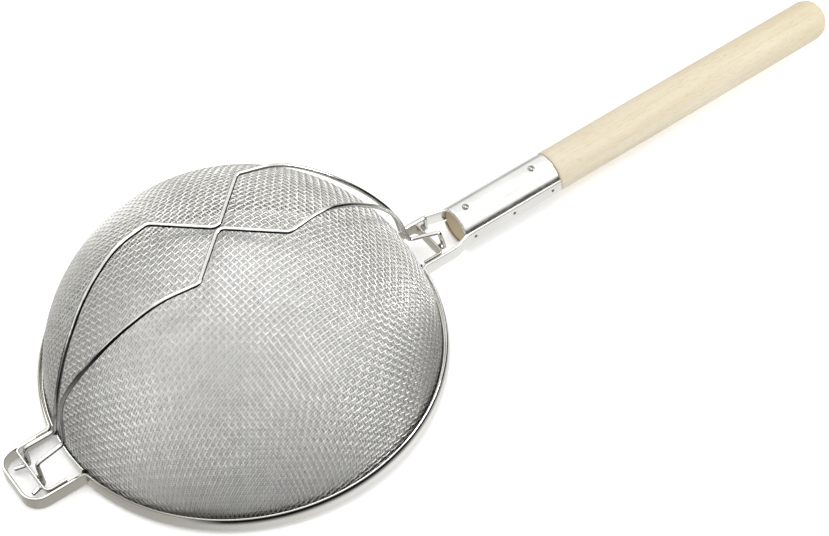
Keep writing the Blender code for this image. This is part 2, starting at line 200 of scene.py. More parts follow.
class Nodes:
    """A material's node tree, with short calls for the nodes used here."""

    def __init__(self, name):
        self.material = bpy.data.materials.new(name)
        self.material.use_nodes = True
        self.tree = self.material.node_tree
        self.shader = self.tree.nodes["Principled BSDF"]
        # Places in the rim's frame, in metres
        rim = self.add("ShaderNodeMapping", vector_type="TEXTURE")
        rim.inputs["Location"].default_value = REST.translation
        rim.inputs["Rotation"].default_value = REST.to_euler()
        self.tree.links.new(self.add("ShaderNodeTexCoord").outputs["Object"], rim.inputs["Vector"])
        self.place = rim.outputs["Vector"]

    def add(self, kind, **settings):
        node = self.tree.nodes.new(kind)
        for key, value in settings.items():
            setattr(node, key, value)
        return node

    def put(self, socket, value):
        if isinstance(value, bpy.types.NodeSocket):
            self.tree.links.new(value, socket)
        else:
            socket.default_value = value

    def stretched(self, scale, offset=(0, 0, 0)):
        mapping = self.add("ShaderNodeMapping")
        self.put(mapping.inputs["Vector"], self.place)
        mapping.inputs["Scale"].default_value = scale
        mapping.inputs["Location"].default_value = offset
        return mapping.outputs["Vector"]

    def noise(self, scale, detail=3.0, vector=None, roughness=0.55, distortion=0.0):
        noise = self.add("ShaderNodeTexNoise")
        self.put(noise.inputs["Vector"], vector or self.place)
        noise.inputs["Scale"].default_value = scale
        noise.inputs["Detail"].default_value = detail
        noise.inputs["Roughness"].default_value = roughness
        noise.inputs["Distortion"].default_value = distortion
        return noise.outputs["Fac"]

    def ramp(self, fac, stops):
        ramp = self.add("ShaderNodeValToRGB")
        self.put(ramp.inputs["Fac"], fac)
        elements = ramp.color_ramp.elements
        while len(elements) < len(stops):
            elements.new(0.5)
        for element, (position, color) in zip(elements, stops):
            element.position = position
            element.color = (*color, 1.0)
        return ramp.outputs["Color"]

    def span(self, value, low, high, to_low, to_high):
        span = self.add("ShaderNodeMapRange")
        for name, number in (("Value", value), ("From Min", low), ("From Max", high),
                             ("To Min", to_low), ("To Max", to_high)):
            self.put(span.inputs[name], number)
        return span.outputs["Result"]

    def mix(self, fac, a, b, blend="MIX"):
        mix = self.add("ShaderNodeMix", data_type="RGBA", blend_type=blend)
        self.put(mix.inputs[0], fac)
        self.put(mix.inputs[6], a)
        self.put(mix.inputs[7], b)
        return mix.outputs[2]

    def math(self, operation, a, b=0.0):
        node = self.add("ShaderNodeMath", operation=operation)
        self.put(node.inputs[0], a)
        self.put(node.inputs[1], b)
        return node.outputs[0]

    def axis(self, index):
        split = self.add("ShaderNodeSeparateXYZ")
        self.put(split.inputs[0], self.place)
        return split.outputs[index]

    def bump(self, height, strength, distance):
        bump = self.add("ShaderNodeBump")
        self.put(bump.inputs["Height"], height)
        bump.inputs["Strength"].default_value = strength
        bump.inputs["Distance"].default_value = distance
        self.put(self.shader.inputs["Normal"], bump.outputs["Normal"])


def polished_steel(name, bright, roughness, shade_tone=STEEL_PAINTED_SHADE, shade_x=None, scratch=0.15, shade_radius=None):
    """Bright rolled steel with faint clouding and hairline polish marks.

    Given two places along X, it turns from a painted shade colour to the bright one between them. Given a
    radius about the rim's centre line, it paints shade within it.
    """
    nodes = Nodes(name)
    cloud = nodes.noise(55.0, 4.0)
    color = nodes.ramp(cloud, [(0.3, tuple(c * 0.93 for c in bright)), (0.7, bright)])
    # Painted shade, full up to the first place along X and gone by the second
    if shade_x:
        share = nodes.span(nodes.axis(0), shade_x[0] * MM, shade_x[1] * MM, 1.0, 0.0)
        color = nodes.mix(share, color, (*shade_tone, 1.0))
    # Painted shade within the given radius
    if shade_radius:
        flat = nodes.add("ShaderNodeVectorMath", operation="MULTIPLY")
        nodes.put(flat.inputs[0], nodes.place)
        flat.inputs[1].default_value = (1, 1, 0)
        length = nodes.add("ShaderNodeVectorMath", operation="LENGTH")
        nodes.put(length.inputs[0], flat.outputs[0])
        inner = nodes.span(length.outputs["Value"], shade_radius * MM, (shade_radius + 0.6) * MM, 0.92, 0.0)
        color = nodes.mix(inner, color, HEM_PAINTED_SHADE)
    nodes.put(nodes.shader.inputs["Base Color"], color)
    nodes.shader.inputs["Metallic"].default_value = 1.0
    hairline = nodes.noise(900.0, 2.0, nodes.stretched((0.05, 0.05, 1.0)))
    smudge = nodes.noise(120.0, 3.0)
    nodes.put(
        nodes.shader.inputs["Roughness"],
        nodes.math("ADD", nodes.span(smudge, 0.3, 0.7, roughness * 0.75, roughness * 1.2),
                   nodes.span(hairline, 0.4, 0.7, 0.0, 0.06)),
    )
    nodes.bump(nodes.math("ADD", nodes.math("MULTIPLY", hairline, 0.4), smudge), scratch, 0.00015)
    return nodes.material


def painted_wire_shade(nodes, color, patch):
    """Paints shade and a dark reflection on the sides and the underside of a wire, at a glancing angle too.
    """
    split = nodes.add("ShaderNodeSeparateXYZ")
    nodes.put(split.inputs[0], nodes.add("ShaderNodeNewGeometry").outputs["Normal"])
    ragged = nodes.math("ADD", split.outputs["Z"], nodes.span(patch, 0.3, 0.7, -0.04, 0.04))
    lower = nodes.span(ragged, *WIRE_SHADE_UPWARD, 1.0, 0.0)
    strength = nodes.math("MULTIPLY", nodes.span(nodes.axis(0), *WIRE_SHADE_X, *WIRE_SHADE_X_STRENGTH),
                          nodes.span(nodes.axis(2), *WIRE_SHADE_Z, *WIRE_SHADE_Z_STRENGTH))
    share = nodes.math("MULTIPLY", lower, strength)
    nodes.put(nodes.shader.inputs["Specular Tint"], nodes.mix(share, WHITE, WIRE_PAINTED_SHADE))
    return nodes.mix(share, color, WIRE_PAINTED_SHADE)


def drawn_wire(name, bright, roughness, painted_shade=False):
    """Drawn steel wire: bright, with a faint grain and small duller patches, and if asked painted shade on
    its sides and underside.
    """
    nodes = Nodes(name)
    patch = nodes.noise(160.0, 3.0)
    color = nodes.ramp(patch, [(0.35, tuple(c * 0.86 for c in bright)), (0.6, bright)])
    # Painted shade and a dark reflection on the wire's sides and underside
    if painted_shade:
        color = painted_wire_shade(nodes, color, patch)
    nodes.put(nodes.shader.inputs["Base Color"], color)
    nodes.shader.inputs["Metallic"].default_value = 1.0
    varied = nodes.span(patch, 0.3, 0.7, roughness * 1.4, roughness * 0.8)
    nodes.put(nodes.shader.inputs["Roughness"], varied)
    nodes.bump(nodes.noise(700.0, 2.0), 0.12, 0.0001)
    return nodes.material


def beech(name):
    """Sanded beech: pale cream with soft lengthwise bands, short dark flecks and tan end grain."""
    nodes = Nodes(name)
    along = nodes.stretched((0.06, 1.0, 1.0))
    bands = nodes.noise(90.0, 3.0, along, 0.5, 0.4)
    fine = nodes.noise(900.0, 3.0, nodes.stretched((0.03, 1.0, 1.0)), 0.6)
    flecks = nodes.noise(2600.0, 1.0, nodes.stretched((0.09, 1.0, 1.0), (0.3, 0, 0)))
    patches = nodes.noise(18.0, 2.0, nodes.stretched((0.5, 1.0, 1.0)))
    color = nodes.ramp(bands, BEECH_BANDS)
    color = nodes.mix(nodes.span(patches, 0.35, 0.65, 0.0, 0.35), color, BEECH_PALE)
    color = nodes.mix(nodes.span(fine, 0.35, 0.7, 0.16, 0.0), color, BEECH_GRAIN)
    color = nodes.mix(nodes.span(flecks, 0.60, 0.70, 0.0, 0.45), color, BEECH_FLECK)
    # Yellower and a little darker towards the tip
    far = nodes.span(nodes.axis(0), *TIP_SHADE_X, 0.0, 0.7)
    color = nodes.mix(far, color, TIP_SHADE, "MULTIPLY")
    # End grain: darker, with rings about a pith outside the stick
    rings = nodes.add("ShaderNodeTexWave", wave_type="RINGS", rings_direction="X")
    nodes.put(rings.inputs["Vector"], nodes.stretched((1.0, 1.0, 1.0), (0.0, 0.018, -0.03)))
    rings.inputs["Scale"].default_value = 260.0
    rings.inputs["Distortion"].default_value = 1.2
    rings.inputs["Detail"].default_value = 2.0
    end = nodes.mix(nodes.math("MULTIPLY", rings.outputs["Fac"], 0.5), END_GRAIN, END_RINGS)
    facing = nodes.add("ShaderNodeNewGeometry").outputs["Normal"]
    split = nodes.add("ShaderNodeSeparateXYZ")
    nodes.put(split.inputs[0], facing)
    square = nodes.span(nodes.math("MULTIPLY", split.outputs[0], -1.0), 0.8, 0.98, 0.0, 1.0)
    color = nodes.mix(square, color, end)
    nodes.put(nodes.shader.inputs["Base Color"], color)
    nodes.put(nodes.shader.inputs["Roughness"], nodes.span(fine, 0.3, 0.7, 0.62, 0.5))
    nodes.shader.inputs["Specular IOR Level"].default_value = 0.35
    height = nodes.math("ADD", nodes.math("MULTIPLY", fine, 0.6), nodes.math("MULTIPLY", flecks, 0.4))
    nodes.bump(height, 0.25, 0.0003)
    return nodes.material


# ---------------------------------------------------------------- mesh tools

def make_object(name, points, faces, material, replaces=(), smooth=True):
    """A piece from points in millimetres in the rim's frame, turned into the row frame."""
    mesh = bpy.data.meshes.new(name)
    points = np.asarray(points, float) * MM @ np.array(REST.to_3x3()).T + np.array(REST.translation)
    mesh.from_pydata(points.tolist(), [], faces)
    mesh.validate()
    if smooth:
        mesh.shade_smooth()
        mesh.set_sharp_from_angle(angle=math.radians(38))
    obj = bpy.data.objects.new(name, mesh)
    bpy.context.scene.collection.objects.link(obj)
    obj.data.materials.append(material)
    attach(obj, "root")
    if replaces:
        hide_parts(*replaces)
    return obj


def grid_faces(rows, columns, wrap_columns=True, wrap_rows=False, start=0):
    """Quads over a grid of points stored row by row."""
    faces = []
    for i in range(rows if wrap_rows else rows - 1):
        for j in range(columns if wrap_columns else columns - 1):
            a = start + i * columns + j
            b = start + i * columns + (j + 1) % columns
            c = start + ((i + 1) % rows) * columns + (j + 1) % columns
            d = start + ((i + 1) % rows) * columns + j
            faces.append((a, b, c, d))
    return faces


def sweep(path, profile, ups):
    """A closed solid with flat caps: a profile of (side, up) pairs carried along a path.

    There is one profile for the whole path, or one for each of its points.
    """
    path = np.asarray(path, float)
    tangent = np.gradient(path, axis=0)
    tangent /= np.linalg.norm(tangent, axis=1, keepdims=True)
    ups = np.broadcast_to(np.asarray(ups, float), path.shape)
    side = np.cross(tangent, ups)
    side /= np.linalg.norm(side, axis=1, keepdims=True)
    up = np.cross(side, tangent)
    profile = np.asarray(profile, float)
    if profile.ndim == 2:
        profile = np.broadcast_to(profile, (len(path), *profile.shape))
    rings = path[:, None] + side[:, None] * profile[..., :1] + up[:, None] * profile[..., 1:]
    count = profile.shape[1]
    points = rings.reshape(-1, 3)
    faces = grid_faces(len(path), count)
    faces.append(tuple(range(count))[::-1])
    faces.append(tuple(range((len(path) - 1) * count, len(path) * count)))
    return points, faces


def round_section(radius, sides):
    return [(radius * math.cos(2 * math.pi * k / sides), radius * math.sin(2 * math.pi * k / sides))
            for k in range(sides)]


def soft_box(width, height, radius, count=4):
    """A rectangle with rounded corners, anticlockwise."""
    points = []
    for quarter, (sx, sy) in enumerate(((1, 1), (-1, 1), (-1, -1), (1, -1))):
        for k in range(count + 1):
            angle = math.pi / 2 * (quarter + k / count)
            points.append((sx * (width / 2 - radius) + radius * math.cos(angle),
                           sy * (height / 2 - radius) + radius * math.sin(angle)))
    return points


def strip_section(thickness, height, edge, crown):
    """A strip on edge, anticlockwise, whose outer face leans in towards its upper edge by the crown."""
    lean_start = -0.12

    def lean(z):
        return crown * max(0.0, (z / height - lean_start) / (0.5 - lean_start)) ** 2

    half, top = thickness / 2, height / 2
    face = np.linspace(-top + edge, top - edge, 12)
    points = [(half - lean(z), z) for z in face]
    points += [(half - lean(top) - edge + edge * math.cos(a), top - edge + edge * math.sin(a))
               for a in np.linspace(math.pi / 8, math.pi / 2, 4)]
    points += [(-half + edge + edge * math.cos(a), top - edge + edge * math.sin(a))
               for a in np.linspace(math.pi / 2, math.pi, 5)]
    points += [(-half + edge + edge * math.cos(a), -top + edge + edge * math.sin(a))
               for a in np.linspace(math.pi, 1.5 * math.pi, 5)]
    points += [(half - edge + edge * math.cos(a), -top + edge + edge * math.sin(a))
               for a in np.linspace(1.5 * math.pi, 2 * math.pi - math.pi / 8, 4)]
    return points


def filleted(vertices, points_per_bend=10):
    """A path through straight runs whose corners are arcs. A bend radius of None is the widest that fits."""
    path = []
    for i, (corner, radius) in enumerate(vertices):
        corner = Vector(corner)
        if radius == 0 or i in (0, len(vertices) - 1):
            path.append(corner)
            continue
        back = Vector(vertices[i - 1][0]) - corner
        ahead = Vector(vertices[i + 1][0]) - corner
        half = back.angle(ahead) / 2
        room = 0.48 * min(back.length, ahead.length)
        setback = room if radius is None else min(room, radius / math.tan(half))
        start = corner + back.normalized() * setback
        end = corner + ahead.normalized() * setback
        center = corner + (back.normalized() + ahead.normalized()).normalized() * (setback / math.cos(half))
        spoke = (start - center).normalized()
        last_spoke = (end - center).normalized()
        for j in range(points_per_bend + 1):
            path.append(center + spoke.slerp(last_spoke, j / points_per_bend) * (setback * math.tan(half)))
    return path


def resampled(path, step):
    """The same path with points no further apart than a step."""
    points = [path[0]]
    for a, b in zip(path, path[1:]):
        parts = max(1, math.ceil((b - a).length / step))
        points.extend(a.lerp(b, k / parts) for k in range(1, parts + 1))
    return points


def lathe(profile, steps, start=0.0, sweep_angle=2 * math.pi):
    """Points of a profile of (radius, height) turned about Z, one row for each profile point.

    A full turn has as many columns as steps, and a part turn has one more.
    """
    profile = np.asarray(profile, float)
    part_turn = sweep_angle < 2 * math.pi
    angles = start + sweep_angle * np.arange(steps + part_turn) / steps
    x = profile[:, :1] * np.cos(angles)[None]
    y = profile[:, :1] * np.sin(angles)[None]
    z = np.broadcast_to(profile[:, 1:], x.shape)
    return np.stack([x, y, z], -1)


def along_handle(points):
    """Turns points made about Z so that their height runs along the handle."""
    points = np.asarray(points, float)
    return np.stack([points[..., 2], points[..., 1], AXIS_Z - points[..., 0]], -1)


# ---------------------------------------------------------------- woven bowls

def bowl_outline(inset, count=3000):
    """(arc length from the pole, radius, height) along a bowl's outline, with a straight skirt."""
    power = 2 / BOWL_ROUNDNESS
    t = np.linspace(math.pi / 2, 0, count)
    r = (BOWL_RADIUS - inset) * np.maximum(np.cos(t), 0) ** power
    z = BOWL_SPRING_Z + (BOWL_DEPTH - inset) * np.sin(t) ** power
    r = np.append(r, r[-1])
    z = np.append(z, BOWL_SPRING_Z - BOWL_SKIRT)
    s = np.concatenate([[0], np.cumsum(np.hypot(np.diff(r), np.diff(z)))])
    return s, r, z


def on_bowl(flat, outline):
    """Points of the bowl from points of its flattened polar map.

    A point's distance from the middle of the map is its arc length from the pole.
    """
    s, r, z = outline
    length = np.hypot(flat[..., 0], flat[..., 1])
    share = np.where(length > 1e-9, np.interp(length, s, r) / np.maximum(length, 1e-9), 1.0)
    return np.stack([flat[..., 0] * share, flat[..., 1] * share, np.interp(length, s, z)], -1)


def bowl_normal(flat, outline):
    """The bowl's outward direction at points of its flattened polar map."""
    s, r, z = outline
    length = np.hypot(flat[..., 0], flat[..., 1])
    ahead = np.minimum(length + 0.5, s[-1])
    behind = np.maximum(length - 0.5, 0)
    dr = np.interp(ahead, s, r) - np.interp(behind, s, r)
    dz = np.interp(ahead, s, z) - np.interp(behind, s, z)
    span = np.maximum(np.hypot(dr, dz), 1e-9)
    unit = flat / np.maximum(length, 1e-9)[..., None]
    return np.concatenate([unit * (-dz / span)[..., None], (dr / span)[..., None]], -1)


def cloth_net(pitch, reach):
    """How a square-woven cloth shears as it is pressed into the bowl.

    Each crossing lies one pitch from its two neighbours nearer the middle, measured in space, starting
    from two straight wires that cross at the pole. The result is one quadrant of the flattened polar map.
    """
    s, r, z = bowl_outline(COARSE_INSET)
    # The skirt is carried on downwards, so that the crossings near the edge can be found
    extra = 60.0
    outline = (np.append(s, s[-1] + extra), np.append(r, r[-1]), np.append(z, z[-1] - extra))
    nudge = 1e-3
    net = np.full((reach + 1, reach + 1, 2), np.nan)
    net[:, 0] = np.stack([np.arange(reach + 1) * pitch, np.zeros(reach + 1)], 1)
    net[0, :] = net[:, 0, ::-1]
    for diagonal in range(2, 2 * reach + 1):
        i = np.arange(max(1, diagonal - reach), min(reach, diagonal - 1) + 1)
        j = diagonal - i
        one, two = net[i - 1, j], net[i, j - 1]
        space_one, space_two = on_bowl(one, outline), on_bowl(two, outline)

        def misfit(flat):
            space = on_bowl(flat, outline)
            return np.stack([np.linalg.norm(space - space_one, axis=-1) - pitch,
                             np.linalg.norm(space - space_two, axis=-1) - pitch], -1)

        flat = one + two - net[i - 1, j - 1]
        for _ in range(12):
            now = misfit(flat)
            dx = (misfit(flat + [nudge, 0]) - now) / nudge
            dy = (misfit(flat + [0, nudge]) - now) / nudge
            det = dx[:, 0] * dy[:, 1] - dy[:, 0] * dx[:, 1]
            det = np.where(np.abs(det) < 1e-4, np.nan, det)
            step = np.stack([dy[:, 1] * now[:, 0] - dy[:, 0] * now[:, 1],
                             dx[:, 0] * now[:, 1] - dx[:, 1] * now[:, 0]], -1) / det[:, None]
            size = np.linalg.norm(step, axis=-1, keepdims=True)
            flat = flat - step * np.minimum(1, 1.5 / np.maximum(size, 1e-9))
        good = np.abs(misfit(flat)).max(-1, keepdims=True) < 0.02
        net[i, j] = np.where(good, flat, np.nan)
    return net


def net_at(net, u, v):
    """Where the cloth's point (u, v), in coarse pitches from the middle, comes on the flattened polar map."""
    a, b = np.abs(u), np.abs(v)
    i = np.minimum(a.astype(int), len(net) - 2)
    j = np.minimum(b.astype(int), len(net) - 2)
    fa, fb = (a - i)[:, None], (b - j)[:, None]
    flat = ((net[i, j] * (1 - fa) + net[i + 1, j] * fa) * (1 - fb)
            + (net[i, j + 1] * (1 - fa) + net[i + 1, j + 1] * fa) * fb)
    flat = flat * np.stack([np.where(u < 0, -1, 1), np.where(v < 0, -1, 1)], -1)
    cos, sin = math.cos(WARP_ANGLE), math.sin(WARP_ANGLE)
    return flat @ np.array([[cos, sin], [-sin, cos]])


def weave(name, net, pitch, radius, inset, warp, crimp, stations, sides, material, replaces):
    """All the wires of one direction of a woven bowl, as one piece of closed tubes.

    Each wire has one or two stations to a pitch, placed so that it is fully over or under at each crossing.
    """
    outline = bowl_outline(inset)
    edge = outline[0][-1]
    scale = pitch / COARSE_PITCH
    reach = int((len(net) - 1) / scale)
    far = int((len(net) - 1) / scale * stations) - 1
    along = (np.arange(-far, far + 1) + (0.5 if stations == 1 else 0.0)) * scale / stations
    section = np.array(round_section(radius, sides))[:, ::-1]
    all_points, all_faces, used = [], [], 0
    for k in range(-reach, reach + 1):
        across = np.full(len(along), (k + 0.5) * scale)
        flat = net_at(net, across, along) if warp else net_at(net, along, across)
        length = np.hypot(flat[:, 0], flat[:, 1])
        inside = np.flatnonzero(length < edge)
        if len(inside) < 3 or np.isnan(length[inside[0]:inside[-1] + 1]).any():
            continue
        keep = slice(inside[0], inside[-1] + 1)
        flat = flat[keep]
        space = on_bowl(flat, outline)
        normal = bowl_normal(flat, outline)
        over = np.sin(math.pi * along[keep] / scale) * (1 if k % 2 else -1)
        space = space + normal * (crimp * over * (1 if warp else -1))[:, None]
        tangent = np.gradient(space, axis=0)
        tangent /= np.linalg.norm(tangent, axis=1, keepdims=True)
        side = np.cross(tangent, normal)
        side /= np.linalg.norm(side, axis=1, keepdims=True)
        rings = (space[:, None] - side[:, None] * section[None, :, :1]
                 + normal[:, None] * section[None, :, 1:])
        count = len(space)
        all_points.append(rings.reshape(-1, 3))
        all_faces.extend(grid_faces(count, sides, start=used))
        all_faces.append(tuple(range(used, used + sides))[::-1])
        all_faces.append(tuple(range(used + (count - 1) * sides, used + count * sides)))
        used += count * sides
    # Smooth all over: no edge of a wire is sharp
    obj = make_object(name, np.concatenate(all_points), all_faces, material, replaces, smooth=False)
    obj.data.shade_smooth()
    return obj


def make_bowls(coarse, fine_warp, shaded_fine_weft):
    """Both cloths, whose wires follow the same net, with the warp and the weft of each as one piece."""
    net = cloth_net(COARSE_PITCH, NET_REACH)
    # The fine weft's darker wire is painted shade in the cloth
    for direction, warp, fine in (("warp", True, fine_warp), ("weft", False, shaded_fine_weft)):
        weave(f"outer_mesh_{direction}", net, COARSE_PITCH, COARSE_WIRE_RADIUS, COARSE_INSET, warp,
              COARSE_CRIMP, 2, 5, coarse, ("outer_mesh_bowl",))
        weave(f"inner_mesh_{direction}", net, FINE_PITCH, FINE_WIRE_RADIUS, FINE_INSET, warp,
              FINE_CRIMP, 1, 3, fine, ("inner_mesh_bowl",))


# ---------------------------------------------------------------- strip, hem and wires

def make_band(material):
    """The rim, the hook loop and the two handle arms, bent from one strip."""
    arm_angle = math.asin(ARM_HALF_WIDTH / BAND_RADIUS)
    hook_angle = math.pi - math.asin(HOOK_HALF_WIDTH / BAND_RADIUS)
    steps = 110
    rim = [(BAND_RADIUS * math.cos(a), BAND_RADIUS * math.sin(a))
           for a in np.linspace(arm_angle, hook_angle, steps + 1)]
    left = [
        ((FERRULE_END_X, ARM_Y, 0), 0),
        ((ARM_NECK_END_X, ARM_Y, 0), NECK_BEND),
        ((ARM_NECK_START_X, ARM_HALF_WIDTH, 0), NECK_BEND),
        ((*rim[0], 0), ROOT_BEND),
        *[((*point, 0), 0) for point in rim[2:-2]],
        ((*rim[-1], 0), ROOT_BEND),
        ((HOOK_END_X, HOOK_HALF_WIDTH, 0), HOOK_BEND),
    ]
    right = [((x, -y, z), bend) for (x, y, z), bend in reversed(left)]
    path = [p + Vector((0, 0, BAND_HEIGHT / 2)) for p in resampled(filleted(left + right, 8), 3.0)]
    flat = np.array(strip_section(BAND_THICKNESS, BAND_HEIGHT, STRIP_EDGE, FLAT_CROWN))
    crowned = np.array(strip_section(BAND_THICKNESS, BAND_HEIGHT, STRIP_EDGE, RIM_CROWN))
    # The crown fades out beyond the rim's circle, and near the hook's and the arms' roots
    distance = np.array([math.hypot(p.x, p.y) for p in path])
    straight = np.array([abs(p.y) for p in path]) < HOOK_HALF_WIDTH + 6
    share = np.clip(1 - (distance - BAND_RADIUS) / 1.5, 0, 1) * np.where(straight, 0, 1)
    share = np.convolve(np.pad(share, 4, mode="edge"), np.ones(9) / 9, mode="valid")
    sections = flat[None] * (1 - share)[:, None, None] + crowned[None] * share[:, None, None]
    points, faces = sweep(path, sections, (0, 0, 1))
    return make_object("rim_band", points, faces, material, ("frame_band",))


def make_hem(material):
    """The folded channel that clamps both meshes, its lips rolled onto them."""
    def lip(center_r, center_z, radius, start, end, count=6):
        return [(center_r + radius * math.cos(a), center_z + radius * math.sin(a))
                for a in np.linspace(start, end, count + 1)]

    outer, inner, low, top = HEM_OUTER_RADIUS, HEM_INNER_RADIUS, HEM_BOTTOM_Z, HEM_TOP_Z
    corner = 0.9
    profile = (
        lip(outer - 0.8, top - 0.3, 0.3, math.pi, math.pi / 2, 4)
        + lip(outer - 0.45, top - 0.45, 0.45, math.pi / 2, 0)
        + lip(outer - corner, low + corner, corner, 0, -math.pi / 2)
        + lip(inner + corner, low + corner, corner, -math.pi / 2, -math.pi)
        + lip(inner + 0.5, top - 0.5, 0.5, math.pi, 0)
        + [(inner + 1.0, low + HEM_SHEET), (outer - HEM_SHEET, low + HEM_SHEET), (outer - 1.0, top - 1.6)]
    )
    rows = lathe(profile, 256)
    faces = [face[::-1] for face in grid_faces(len(profile), 256, wrap_rows=True)]
    points = rows.reshape(-1, 3)
    return make_object("hem", points, faces, material, ("hem_ring",))


def make_bracket(name, x, half_width, bottom, height, material, node):
    """A strip bent to a U between the two sides of the hook loop or of the arms, its legs towards the rim."""
    inward = -math.copysign(BRACKET_LEG, x)
    y = half_width - BAND_THICKNESS / 2 - GAP - BRACKET_THICKNESS / 2
    path = resampled(filleted([
        ((x + inward, y, 0), 0),
        ((x, y, 0), BRACKET_BEND),
        ((x, -y, 0), BRACKET_BEND),
        ((x + inward, -y, 0), 0),
    ], 8), 2.0)
    path = [p + Vector((0, 0, bottom + height / 2)) for p in path]
    points, faces = sweep(path, soft_box(BRACKET_THICKNESS, height, 0.4), (0, 0, 1))
    return make_object(name, points, faces, material, (node,))


def wire_vertices():
    """The left guard wire's corners and their bend radii, from the hook loop over the dome to the arms."""
    touch = WIRE_TOUCH_Y
    return [
        ((-123.8, 9.0, 3.1), 0),
        ((-116.9, 7.2, 3.1), 1.6),
        ((-116.8, 5.8, 18.0), 2.2),
        ((-101.0, 4.5, 19.6), 3.0),
        ((-97.2, touch, 42.5), None),
        ((-86.0, 7.0, 62.0), None),
        ((-66.0, 14.6, 84.0), None),
        ((-44.0, 20.0, 97.0), None),
        ((-24.6, 22.8, SPIDER_TOP_Z), 4.0),
        ((0.0, touch - 1.2, SPIDER_TOP_Z), 4.0),
        ((24.6, 22.8, SPIDER_TOP_Z), 4.0),
        ((45.0, 18.6, 94.6), None),
        ((63.0, 13.4, 81.0), None),
        ((82.5, 6.4, 59.0), None),
        ((94.6, touch, 38.5), None),
        ((98.8, 3.6, 19.6), 3.0),
        ((115.3, 6.3, 15.6), 2.4),
        ((116.6, 8.0, 4.8), 0),
    ]


def tube(path, radius, sides=16):
    """A round wire along any path, turned as little as possible from ring to ring, with chamfered ends."""
    path = np.array([tuple(p) for p in path])
    tangent = np.gradient(path, axis=0)
    tangent /= np.linalg.norm(tangent, axis=1, keepdims=True)
    side = np.cross(tangent[0], (0.13, 0.31, 0.94))
    rings = []
    for point, along in zip(path, tangent):
        side = side - along * (side @ along)
        side /= np.linalg.norm(side)
        up = np.cross(along, side)
        rings.append([point + radius * (math.cos(a) * side + math.sin(a) * up)
                      for a in 2 * math.pi * np.arange(sides) / sides])
    for end, inner in ((0, 1), (-1, -2)):
        shrunk = [path[end] + (np.array(p) - path[end]) * 0.72 for p in rings[end]]
        out = (path[end] - path[inner]) / np.linalg.norm(path[end] - path[inner]) * radius * 0.25
        shrunk = [p + out for p in shrunk]
        rings.insert(0 if end == 0 else len(rings), shrunk)
    count = len(rings)
    faces = grid_faces(count, sides)
    faces.append(tuple(range(sides))[::-1])
    faces.append(tuple(range((count - 1) * sides, count * sides)))
    return np.array(rings).reshape(-1, 3), faces


def make_wires(material):
    """The left guard wire and its mirror image."""
    for side, sign in (("left", 1), ("right", -1)):
        path = resampled(filleted(wire_vertices(), 10), 2.0)
        path = [Vector((p.x, sign * p.y, p.z)) for p in path]
        points, faces = tube(path, WIRE_RADIUS)
        make_object(f"guard_wire_{side}", points, faces, material, (f"spider_wire_{side}",))


def weld(name, place, size, seed, material):
    """A lumpy bead of weld metal, its size given along each axis."""
    rows, columns = 9, 14
    profile = [(math.sin(a), math.cos(a)) for a in np.linspace(0, math.pi, rows)]
    ball = lathe(profile, columns)
    angle = np.arctan2(ball[..., 1], ball[..., 0])
    height = ball[..., 2]
    lumps = 1 + 0.16 * np.sin(3 * angle + 2.1 * height + seed) + 0.1 * np.sin(5 * height + 2 * seed)
    points = (ball * lumps[..., None] * np.array(size) / 2 + np.array(place)).reshape(-1, 3)
    faces = [face[::-1] for face in grid_faces(rows, columns)]
    return make_object(name, points, faces, material)


def make_welds(bright, tack_shade):
    """Beads where the guard wires meet the brackets, and near-black tacks where the strip leaves the hem,
    painted as the shade in the gap there.
    """
    for side, sign in (("left", 1), ("right", -1)):
        weld(f"hook_weld_{side}", (-117.6, sign * 6.9, 7.4), (2.6, 3.4, 6.4), 0.4 + sign, bright)
        weld(f"arm_weld_{side}", (114.9, sign * 7.9, 6.6), (2.8, 3.2, 3.6), 1.7 + sign, bright)
        # Near-black tacks painted as the shade in the gap where the strip leaves the hem
        for end, half_width, way in (("hook", HOOK_HALF_WIDTH, -1), ("arm", ARM_HALF_WIDTH, 1)):
            y = half_width - BAND_THICKNESS / 2 - 1.2
            x = way * (math.sqrt(HEM_OUTER_RADIUS ** 2 - y ** 2) + 0.1)
            weld(f"{end}_tack_{side}", (x, sign * y, 5.2), (2.6, 2.6, 3.8), 0.9 * way + sign, tack_shade)


# ---------------------------------------------------------------- handle, ferrule and nails

def make_handle(material):
    """The turned stick, from its rounded tip to the tenon inside the ferrule."""
    tip_base = HANDLE_END_X - TIP_CROWN - TIP_ROUND
    shoulder = FERRULE_END_X + GAP
    start = FERRULE_START_X + SHELL_THICKNESS + GAP
    profile = [(0.0, HANDLE_END_X)]
    flat = HANDLE_RADIUS - TIP_ROUND
    profile += [(r, HANDLE_END_X - TIP_CROWN * (r / flat) ** 2) for r in (flat * 0.4, flat * 0.8)]
    profile += [(flat + TIP_ROUND * math.cos(a), tip_base + TIP_ROUND * math.sin(a))
                for a in np.linspace(math.pi / 2, 0, 16)]
    profile += [(HANDLE_RADIUS, x) for x in np.linspace(tip_base - 6, shoulder + 2, 40)]
    profile += [(HANDLE_RADIUS, shoulder + 0.6), (HANDLE_RADIUS - 0.2, shoulder + 0.2),
                (HANDLE_RADIUS - 0.5, shoulder)]
    profile += [(TENON_RADIUS, shoulder), (TENON_RADIUS, start + TENON_CHAMFER),
                (TENON_RADIUS - TENON_CHAMFER, start), (5.0, start), (0.0, start)]
    steps = 72
    rows = lathe(profile, steps)
    # Turning leaves the stick a hair out of round
    angle = np.arctan2(rows[..., 1], rows[..., 0])
    wobble = 1 + 0.0035 * np.sin(2 * angle + rows[..., 2] / 40) * np.sin(rows[..., 2] / 23)
    rows[..., 0] *= wobble
    rows[..., 1] *= wobble
    faces = grid_faces(len(profile), steps)
    points = along_handle(rows).reshape(-1, 3)
    return make_object("turned_handle", points, faces, material, ("handle",))


